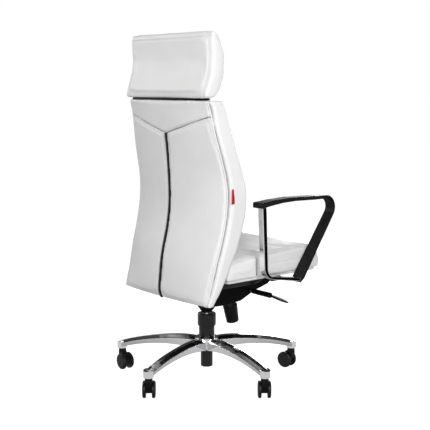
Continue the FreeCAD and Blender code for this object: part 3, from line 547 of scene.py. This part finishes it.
# self piping in the seams between the rear covers and the side gussets
SECT = [
    (324, -205, -193, 239), (380, -214.5, -179, 245), (443, -208, -163, 249.5), (500, -198, -148, 253), (560, -183, -131, 255),
    (628, -171, -117, 256), (690, -168, -112, 256), (734, -169.5, -115, 254.5), (788, -173, -126, 251.5), (840, -177.5, -139, 246),
    (896, -185, -152, 237.5), (962, -195, -164, 231), (1009, -203.5, -176, 227.5),
]
for side, name in ((-1, "rear_seam_welt_right"), (1, "rear_seam_welt_left")):
    line = []
    for z, mid, edge, halfw in SECT:
        w = halfw - 14.0
        f = mid + (edge - mid) * (w / halfw) ** 2
        line.append((side * (w + 0.2) / 1000, (-f - 3.6) / 1000, z / 1000))
    line[0] = (line[0][0], line[0][1], line[0][2] + 0.004)
    line[-1] = (line[-1][0], line[-1][1], line[-1][2] - 0.004)
    o = tube(name, smooth_line(line), 0.0028)
    give(o, "leather")
    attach(o, body_of("back_board"))

bpy.context.view_layer.update()
COVERS = [made[n] for n in ("rear_cover_left", "rear_cover_right", "yoke_cover")]


def on_cover(x, z):
    best = None
    for c_ in COVERS:
        hit, loc, nor, _ = c_.ray_cast(Vector((x, 0.45, z)), Vector((0, -1, 0)))
        if hit and (best is None or loc.y > best[0].y):
            best = (loc.copy(), nor.copy())
    return best


def stitches(name, lines, length=0.0036, pitch=0.0056, radius=0.00042):
    """Short raised threads along rows given as (x, z) polylines on the rear of the back."""
    bm = bmesh.new()
    for line in lines:
        seg = [Vector((a[0], 0, a[1])) for a in line]
        run = 0.0
        for a, c_ in zip(seg, seg[1:]):
            d = c_ - a
            ln = d.length
            d.normalize()
            t = run
            while t < ln:
                q0, q1 = a + d * (t - length / 2), a + d * (t + length / 2)
                h0, h1 = on_cover(q0.x, q0.z), on_cover(q1.x, q1.z)
                if h0 and h1 and abs(h0[0].y - h1[0].y) < 0.002 and h0[1].y > 0.75 and h1[1].y > 0.75:
                    u = (h1[0] - h0[0]).normalized()
                    n = (h0[1] + h1[1]).normalized()
                    w = u.cross(n).normalized()
                    mid = (h0[0] + h1[0]) / 2 + n * 0.00012
                    rows_ = []
                    for f, k in ((-0.5, 0.35), (-0.38, 0.85), (0.0, 1.0), (0.38, 0.85), (0.5, 0.35)):
                        lift = -0.00035 * (2 * f) ** 2
                        ring = [bm.verts.new(mid + u * (f * length) + n * lift + (w * math.cos(q) + n * math.sin(q)) * radius * k) for q in (2 * math.pi * j / 6 for j in range(6))]
                        rows_.append(ring)
                    for r0, r1 in zip(rows_, rows_[1:]):
                        for j in range(6):
                            bm.faces.new((r0[j], r0[(j + 1) % 6], r1[(j + 1) % 6], r1[j]))
                    bm.faces.new(rows_[0][::-1])
                    bm.faces.new(rows_[-1])
                t += pitch
            run = t - ln
    bmesh.ops.recalc_face_normals(bm, faces=bm.faces)
    mesh = bpy.data.meshes.new(name)
    bm.to_mesh(mesh)
    bm.free()
    for poly in mesh.polygons:
        poly.use_smooth = True
    obj = bpy.data.objects.new(name, mesh)
    scene.collection.objects.link(obj)
    give(obj, "thread")
    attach(obj, body_of("back_board"))
    return obj


rows = []
slope = (0.962 - 0.896) / 0.231
for side in (-1, 1):
    for off in (-0.0065, 0.0065):
        rows.append([(side * 0.006, 0.896 + slope * 0.006 + off), (side * 0.218, 0.896 + slope * 0.218 + off)])
    edge_line = []
    for z, mid, edge, halfw in SECT:
        edge_line.append((side * (halfw - 14.0 - 8.5) / 1000, z / 1000))
    low = [q for q in edge_line]
    low[0] = (low[0][0], 0.333)
    low[-1] = (low[-1][0], 0.999)
    rows.append(low)
    rows.append([(side * 0.0088, 0.335), (side * 0.0088, 0.886)])
stitches("rear_stitching", rows)

# a black strip fills the gap between the spacer plate and the headrest's underside: painted shadow, a dark sheet
# put where the gap shows only shade
pad_ = made["headrest_cushion"]
rings = []
for i in range(42):
    x = -0.205 + 0.41 * i / 41
    yr = min(0.1955 - 0.0275 * (x / 0.2275) ** 2, 0.1875)
    ring = [(x, yr, 1.0122), None, None, (x, yr - 0.012, 1.0122)]
    for k, y in ((1, yr), (2, yr - 0.012)):
        hit, loc, nor, _ = pad_.ray_cast(Vector((x, y, 1.0)), Vector((0, 0, 1)))
        ring[k] = (x, y, min((loc.z if hit else 1.0165) + 0.0012, 1.024))
    rings.append(ring)
bm = bmesh.new()
vr = [[bm.verts.new(q) for q in ring] for ring in rings]
for r0, r1 in zip(vr, vr[1:]):
    for j in range(4):
        bm.faces.new((r0[j], r0[(j + 1) % 4], r1[(j + 1) % 4], r1[j]))
bm.faces.new(vr[0][::-1])
bm.faces.new(vr[-1])
bmesh.ops.recalc_face_normals(bm, faces=bm.faces)
mesh = bpy.data.meshes.new("headrest_gap_painted_shadow")
bm.to_mesh(mesh)
bm.free()
o = bpy.data.objects.new("headrest_gap_painted_shadow", mesh)
scene.collection.objects.link(o)
give(o, "soft_black")
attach(o, body_of("back_board"))

# the leather is drawn down round the seat board's edge and turned under
lo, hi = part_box("seat_board")
bm = bmesh.new()
x0, x1, y0, y1, r = lo.x - 0.0022, hi.x + 0.0022, lo.y - 0.0022, hi.y + 0.0022, 0.010
loop = []
for cxx, cyy, a0 in ((x1 - r, y1 - r, 0), (x0 + r, y1 - r, 90), (x0 + r, y0 + r, 180), (x1 - r, y0 + r, 270)):
    for k in range(7):
        a = math.radians(a0 + 15 * k)
        loop.append((cxx + r * math.cos(a), cyy + r * math.sin(a), math.cos(a), math.sin(a)))
dense = []
for i in range(len(loop)):
    a, c = loop[i], loop[(i + 1) % len(loop)]
    ln = math.hypot(c[0] - a[0], c[1] - a[1])
    n = max(1, int(ln / 0.012))
    for k in range(n):
        t = k / n
        dense.append(tuple(a[j] + (c[j] - a[j]) * t for j in range(4)))
prof = [(0.0, hi.z + 0.004), (0.0006, hi.z - 0.001), (0.0008, (lo.z + hi.z) / 2), (0.0003, lo.z + 0.002), (-0.0010, lo.z - 0.0004), (-0.0040, lo.z - 0.0016), (-0.0220, lo.z - 0.0018)]
rings = []
for i, (x, y, nx, ny) in enumerate(dense):
    rings.append([bm.verts.new((x + nx * (d + 0.0004 * math.sin(i * 1.7)), y + ny * (d + 0.0004 * math.sin(i * 1.7)), z)) for d, z in prof])
for i in range(len(rings)):
    a, c = rings[i], rings[(i + 1) % len(rings)]
    for k in range(len(prof) - 1):
        bm.faces.new((a[k], c[k], c[k + 1], a[k + 1]))
bmesh.ops.recalc_face_normals(bm, faces=bm.faces)
mesh = bpy.data.meshes.new("seat_edge_wrap")
bm.to_mesh(mesh)
bm.free()
wrap = bpy.data.objects.new("seat_edge_wrap", mesh)
scene.collection.objects.link(wrap)
mod = wrap.modifiers.new("thick", "SOLIDIFY")
mod.thickness = 0.0012
mod.offset = 0
mod = wrap.modifiers.new("sub", "SUBSURF")
mod.levels = mod.render_levels = 1
bake(wrap)
give(wrap, "leather")
for poly in wrap.data.polygons:
    poly.use_smooth = True
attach(wrap, body_of("seat_board"))

# ------------------------------------------------------------ red tag: a small folded strip, narrow above and wider below
lo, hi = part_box("side_tag")
bm = bmesh.new()
rows, cols = 15, 7
grid = []
cy, cz0, cz1 = (lo.y + hi.y) / 2, lo.z, hi.z
sgn = 1 if (lo.x + hi.x) > 0 else -1
for i in range(rows):
    t = i / (rows - 1)
    z = cz1 + (cz0 - cz1) * t
    w = 0.0036 + (0.0068 - 0.0036) * t
    out = 0.0006 + 0.0022 * math.sin(t * 2.2) ** 2
    line = []
    for j in range(cols):
        s = j / (cols - 1) * 2 - 1
        bow = out + 0.0005 * (1 - s * s)
        x = (max(abs(lo.x), abs(hi.x)) - 0.0012 + bow) * sgn
        line.append(bm.verts.new((x, cy + w * s, z)))
    grid.append(line)
for i in range(rows - 1):
    for j in range(cols - 1):
        bm.faces.new((grid[i][j], grid[i][j + 1], grid[i + 1][j + 1], grid[i + 1][j]))
bmesh.ops.recalc_face_normals(bm, faces=bm.faces)
mesh = bpy.data.meshes.new("side_label")
bm.to_mesh(mesh)
bm.free()
tag = bpy.data.objects.new("side_label", mesh)
scene.collection.objects.link(tag)
mod = tag.modifiers.new("thick", "SOLIDIFY")
mod.thickness = 0.0009
mod.offset = 0
mod = tag.modifiers.new("round", "BEVEL")
mod.width = 0.0003
mod.segments = 2
bake(tag)
give(tag, "tag")
for poly in tag.data.polygons:
    poly.use_smooth = True
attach(tag, body_of("side_tag"))
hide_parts("side_tag")

# ------------------------------------------------------------ stage, lights, camera
bm = bmesh.new()
bmesh.ops.create_circle(bm, cap_ends=True, segments=96, radius=60.0)
mesh = bpy.data.meshes.new("studio_floor")
bm.to_mesh(mesh)
bm.free()
floor = bpy.data.objects.new("studio_floor", mesh)
floor.location = (0, 0, min(0.0, cad_box[0].z) - 0.0005)
scene.collection.objects.link(floor)
m, b = new_material("pale_floor", (0.50, 0.50, 0.50), 0.9, spec=0.0)
b.inputs["Emission Color"].default_value = (1, 1, 1, 1)
b.inputs["Emission Strength"].default_value = 0.97
floor.data.materials.append(m)
floor.visible_glossy = False
floor.visible_diffuse = False

world = bpy.data.worlds.new("studio")
scene.world = world
world.use_nodes = True
nt = world.node_tree
bg = nt.nodes["Background"]
tc = nt.nodes.new("ShaderNodeTexCoord")
sep = nt.nodes.new("ShaderNodeSeparateXYZ")
mr = nt.nodes.new("ShaderNodeMapRange")
mr.inputs["From Min"].default_value = -1.0
mr.inputs["From Max"].default_value = 1.0
cr = nt.nodes.new("ShaderNodeValToRGB")
nt.links.new(tc.outputs["Generated"], sep.inputs["Vector"])
nt.links.new(sep.outputs["Z"], mr.inputs["Value"])
nt.links.new(mr.outputs["Result"], cr.inputs["Fac"])
nt.links.new(cr.outputs["Color"], bg.inputs["Color"])
stops = [(0.0, 0.20), (0.25, 0.30), (0.34, 0.62), (0.425, 0.72), (0.440, 0.14), (0.468, 0.12), (0.482, 1.0), (0.56, 1.0), (0.585, 0.30), (0.62, 0.06), (0.78, 0.03), (0.90, 0.06), (1.0, 0.10)]
e = cr.color_ramp.elements
while len(e) < len(stops):
    e.new(0.5)
for el, (pos, val) in zip(e, stops):
    el.position = pos
    el.color = (val, val, val, 1)
bg.inputs["Strength"].default_value = 1.0


def area(name, loc, target, size, power, colour=(1, 1, 1)):
    d = bpy.data.lights.new(name, "AREA")
    d.shape = "RECTANGLE"
    d.size, d.size_y = size
    d.energy = power
    d.color = colour
    o = bpy.data.objects.new(name, d)
    o.location = loc
    o.rotation_mode = "QUATERNION"
    o.rotation_quaternion = (Vector(target) - Vector(loc)).to_track_quat("-Z", "Y")
    scene.collection.objects.link(o)
    o.visible_camera = False
    return o


area("key", (-3.0, 0.9, 1.9), (0, 0, 0.7), (1.2, 1.6), 58)
area("fill", (-2.3, 2.9, 1.7), (0, 0, 0.7), (2.2, 1.8), 52)
area("front", (1.5, -2.8, 1.0), (0, 0, 0.6), (1.8, 1.6), 40)
area("side", (2.9, 1.2, 1.8), (0, 0, 0.6), (1.4, 1.6), 26)
area("top", (0.1, 0.0, 3.2), (0, 0, 0), (1.3, 1.3), 7)

# a black flag that only polished metal sees
bm = bmesh.new()
for x, z in ((-0.42, -0.7), (0.42, -0.7), (0.42, 0.7), (-0.42, 0.7)):
    bm.verts.new((x * 0.643 - 2.04, -x * 0.766 - 1.58, z + 0.3))
bm.faces.new(bm.verts)
mesh = bpy.data.meshes.new("studio_flag")
bm.to_mesh(mesh)
bm.free()
flag = bpy.data.objects.new("studio_flag", mesh)
scene.collection.objects.link(flag)
m, b = new_material("flag_black", (0.004, 0.004, 0.004), 1.0, spec=0.0)
flag.data.materials.append(m)
flag.visible_camera = flag.visible_diffuse = flag.visible_shadow = flag.visible_transmission = False

cam = bpy.data.cameras.new("camera")
cam.lens = 79.5
cam.sensor_width = 36.0
cam.shift_x = 0.0193
cam.clip_start, cam.clip_end = 0.05, 300.0
camera = bpy.data.objects.new("camera", cam)
camera.location = (-2.592, 2.175, 1.0626)
camera.rotation_euler = (math.radians(90 - 7.85), 0, math.radians(230))
scene.collection.objects.link(camera)
scene.camera = camera
